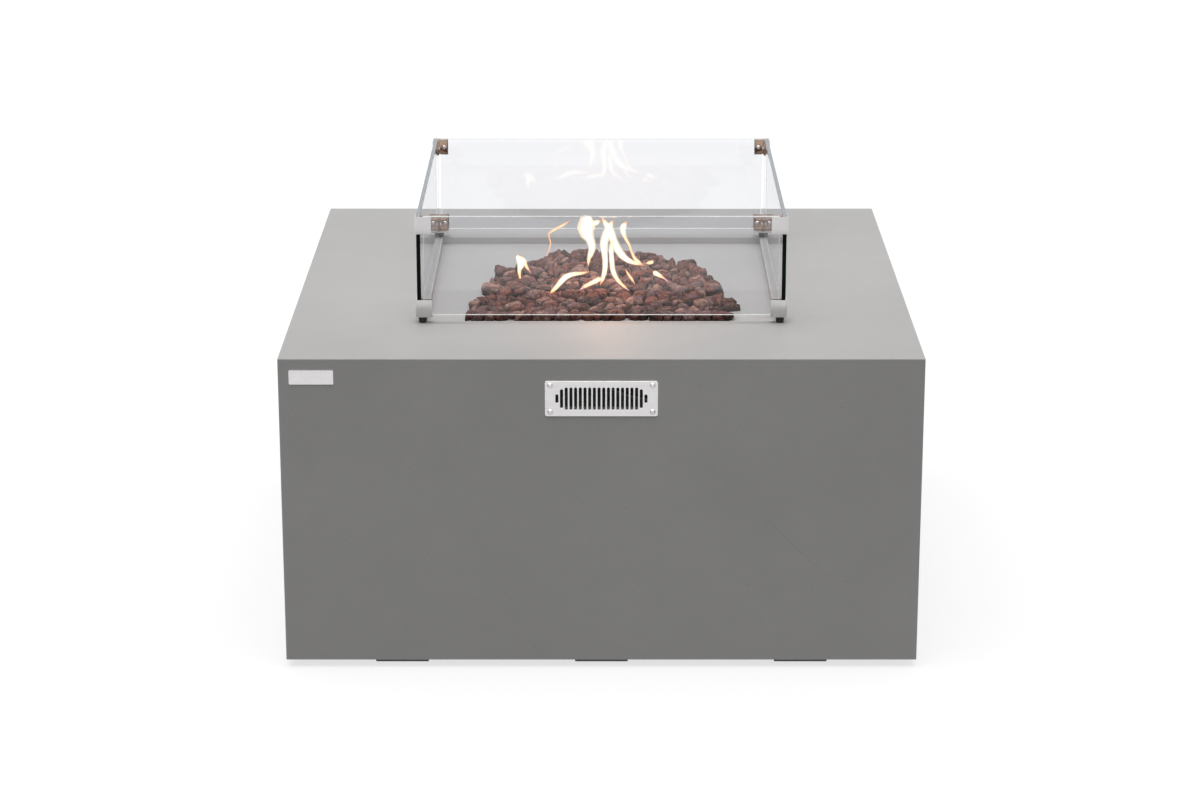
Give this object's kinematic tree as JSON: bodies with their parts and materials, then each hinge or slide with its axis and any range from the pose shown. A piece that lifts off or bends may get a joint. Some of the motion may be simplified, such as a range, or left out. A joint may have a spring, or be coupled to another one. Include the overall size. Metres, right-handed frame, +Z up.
{
  "type": "gas fire table",
  "caption": "Low square gas fire table in cast concrete, with lava stones over a ring burner, a gas tap, an igniter and a loose glass wind guard.",
  "frame": {"origin": "on the ground under the middle of the table", "axes": "+Z up, the vent grille and name plate face -Y, the control box faces +X"},
  "size_m": [0.914, 0.921, 0.6265],
  "materials": {
    "concrete": "cast concrete, fine matt",
    "lava": "rough porous lava",
    "stainless": "satin brushed",
    "plate": "satin brushed, bare",
    "bracket_steel": "satin",
    "screw_steel": "bright",
    "glass": "clear tempered, polished edges",
    "foot_rubber": "matt black",
    "brass": "turned",
    "zinc_steel": "bright zinc",
    "copper_lead": "drawn copper",
    "white_ceramic": "glazed",
    "lead_jacket": "silicone jacket",
    "black_plastic": "moulded",
    "valve_alloy": "die cast",
    "spring_steel": "drawn wire",
    "battery_case": "plain sleeve"
  },
  "bodies": {
    "fire_table": {"concrete_shell": "concrete", "base_ring": "concrete", "feet": "concrete", "burner_pan": "stainless", "burner": "stainless", "burner_posts": "stainless", "inlet_nipple": "zinc_steel", "nipple_lock_nuts": "zinc_steel", "air_mixer": "brass", "gas_orifice": "brass", "pilot_burner": "stainless", "thermocouple": "copper_lead", "spark_electrode": "white_ceramic", "pilot_bracket": "stainless", "pilot_shield": "stainless", "lava_stones": "lava", "front_vent_grille": "plate", "front_vent_screws": "screw_steel", "rear_vent_grille": "plate", "rear_vent_screws": "screw_steel", "name_plate": "plate", "control_box": "stainless", "control_box_screws": "screw_steel", "valve_body": "valve_alloy", "valve_screws": "screw_steel", "knob_spring": "spring_steel", "gas_inlet_fitting": "brass", "igniter_housing": "black_plastic", "igniter_nut": "black_plastic", "igniter_battery": "battery_case", "igniter_spring": "spring_steel", "supply_tube": "stainless", "pilot_tube": "valve_alloy", "thermocouple_lead": "copper_lead", "igniter_lead": "lead_jacket"},
    "wind_guard": {"left_pane": "glass", "right_pane": "glass", "front_pane": "glass", "rear_pane": "glass", "lower_corner_brackets": "bracket_steel", "upper_corner_brackets": "bracket_steel", "lower_clamp_leaves": "bracket_steel", "upper_clamp_leaves": "bracket_steel", "guard_screws": "screw_steel", "guard_feet": "foot_rubber"},
    "valve_plug": {"valve_plug": "brass"},
    "control_knob": {"control_knob": "black_plastic", "valve_stem": "zinc_steel"},
    "igniter_button": {"igniter_button": "black_plastic"}
  },
  "joints": [
    {"name": "guard_lift", "type": "slide", "parent": "fire_table", "child": "wind_guard", "axis": [0, 0, 1], "range_m": [0, 0.3]},
    {"name": "knob_turn", "type": "hinge", "parent": "fire_table", "child": "valve_plug", "pos_m": [0.393, -0.035, 0.3], "axis": [1, 0, 0], "range_deg": [-90, 90]},
    {"name": "knob_push", "type": "slide", "parent": "valve_plug", "child": "control_knob", "axis": [-1, 0, 0], "range_m": [0, 0.004], "stiffness_N_per_m": 1000, "springref_m": -0.004, "deforming": ["knob_spring"]},
    {"name": "igniter_push", "type": "slide", "parent": "fire_table", "child": "igniter_button", "axis": [-1, 0, 0], "range_m": [0, 0.003], "stiffness_N_per_m": 1000, "springref_m": -0.003, "deforming": ["igniter_spring"]}
  ]
}
